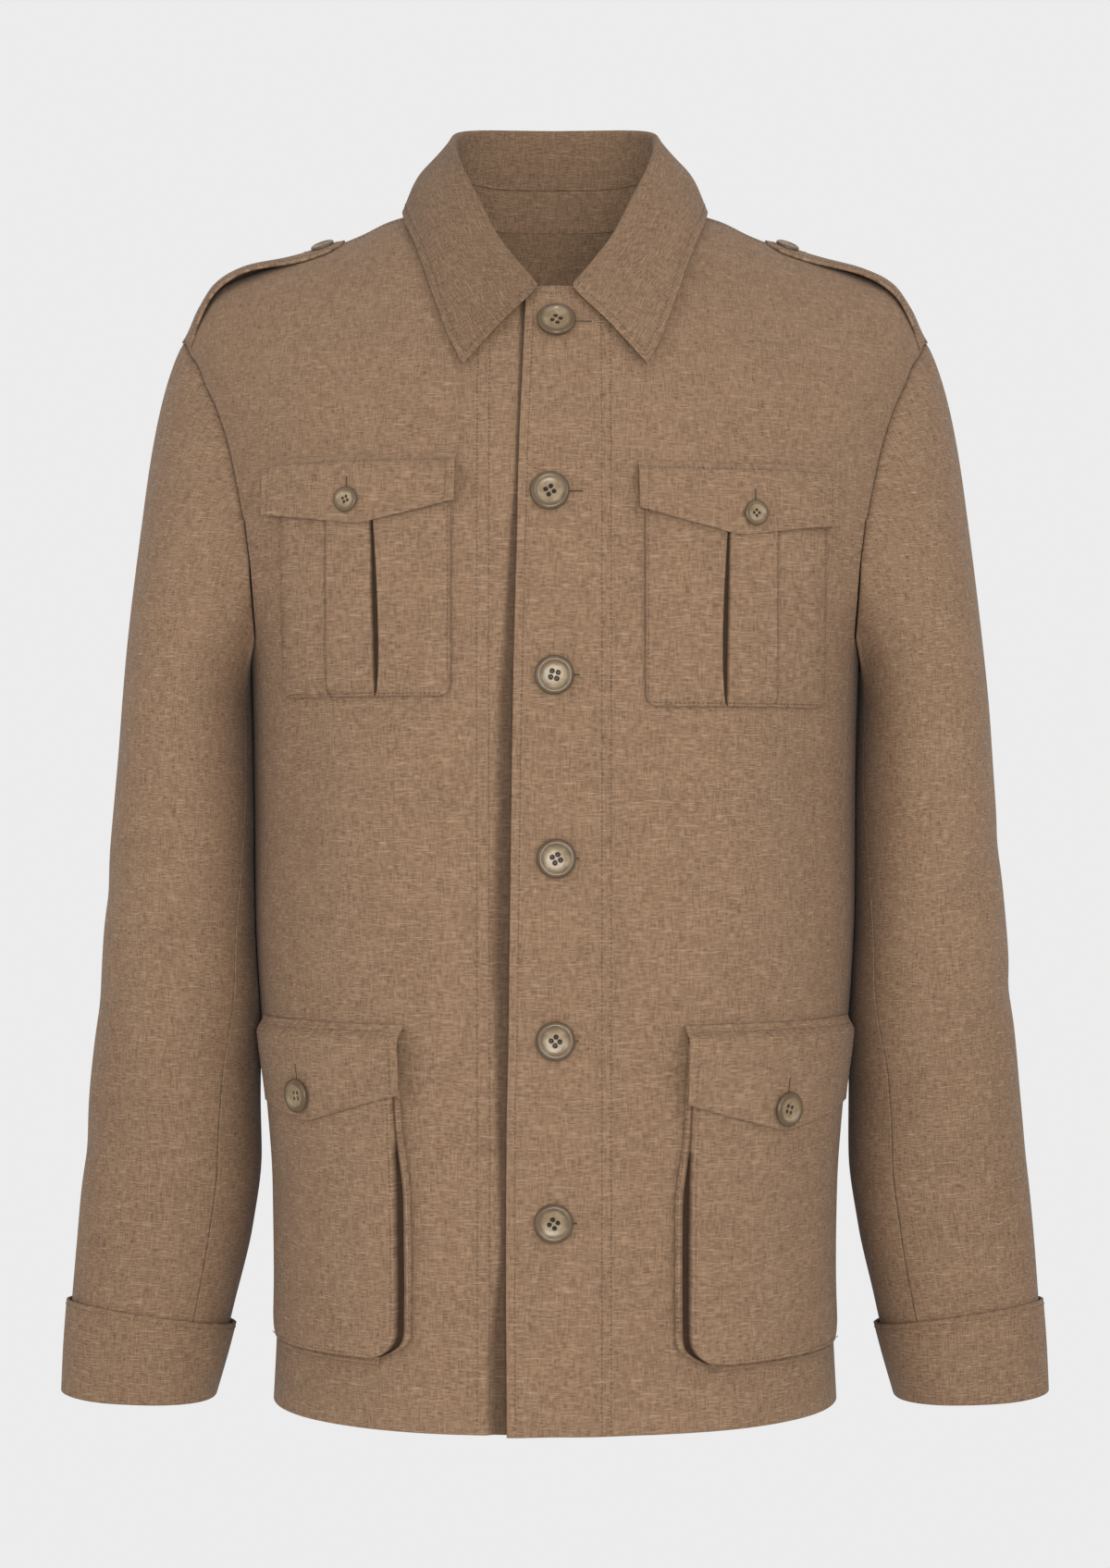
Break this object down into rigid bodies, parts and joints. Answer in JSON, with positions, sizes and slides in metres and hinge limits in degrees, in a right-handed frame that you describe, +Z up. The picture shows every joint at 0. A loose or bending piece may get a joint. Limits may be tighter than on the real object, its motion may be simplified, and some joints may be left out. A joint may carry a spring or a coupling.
{
  "type": "safari jacket",
  "caption": "Button-front safari jacket, filled out as if worn, with a turned-down collar, epaulettes, flapped patch and bellows pockets and turned-back cuffs.",
  "frame": {"origin": "between the shoulder points at the level of the base of the neck, where the wearer's shoulders carry the jacket", "axes": "+Z up, the front faces -Y, +X towards the wearer's left"},
  "size_m": [0.6094, 0.2855, 0.7956],
  "materials": {
    "cloth": "matt brown linen and cotton twill with slubs",
    "button": "polished marbled horn"
  },
  "bodies": {
    "root": {"front_left": "cloth", "front_right": "cloth", "side_panel_left": "cloth", "side_panel_right": "cloth", "back": "cloth", "sleeve_top_left": "cloth", "sleeve_top_right": "cloth", "sleeve_under_left": "cloth", "sleeve_under_right": "cloth", "cuff_left": "cloth", "cuff_right": "cloth", "collar_fall": "cloth", "collar_stand": "cloth", "epaulette_left": "cloth", "epaulette_right": "cloth", "chest_pocket_left": "cloth", "chest_pocket_right": "cloth", "chest_flap_left": "cloth", "chest_flap_right": "cloth", "lower_pocket_left": "cloth", "lower_pocket_right": "cloth", "lower_flap_left": "cloth", "lower_flap_right": "cloth", "front_button_1": "button", "front_button_2": "button", "front_button_3": "button", "front_button_4": "button", "front_button_5": "button", "front_button_6": "button", "chest_button_left": "button", "chest_button_right": "button", "lower_button_left": "button", "lower_button_right": "button", "epaulette_button_left": "button", "epaulette_button_right": "button"}
  },
  "joints": []
}
